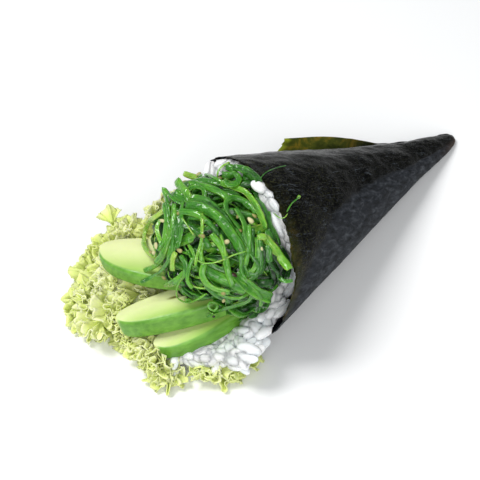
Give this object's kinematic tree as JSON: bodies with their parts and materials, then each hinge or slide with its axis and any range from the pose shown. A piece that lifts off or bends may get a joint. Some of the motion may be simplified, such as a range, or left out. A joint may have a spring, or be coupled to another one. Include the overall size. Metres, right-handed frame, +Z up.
{
  "type": "temaki hand roll",
  "caption": "Cone of rolled nori lying on its side, filled with rice and spilling curly lettuce, avocado slices and a mound of seaweed salad.",
  "frame": {"origin": "on the table, under the middle of the whole roll", "axes": "+Z up, +X along the cone's underside towards its closed tip; the mouth and its filling are at -X"},
  "size_m": [0.1583, 0.0761, 0.0534],
  "materials": {
    "nori": "moist, finely wrinkled",
    "rice": "moist, translucent grains",
    "avocado": "smooth, moist cut faces",
    "lettuce": "thin, ruffled, translucent",
    "seaweed_salad": "glossy, translucent ribbons"
  },
  "bodies": {
    "root": {"nori": "nori", "rice": "rice", "avocado_slice_1": "avocado", "avocado_slice_2": "avocado", "avocado_slice_3": "avocado", "lettuce": "lettuce", "seaweed_salad": "seaweed_salad"}
  },
  "joints": []
}
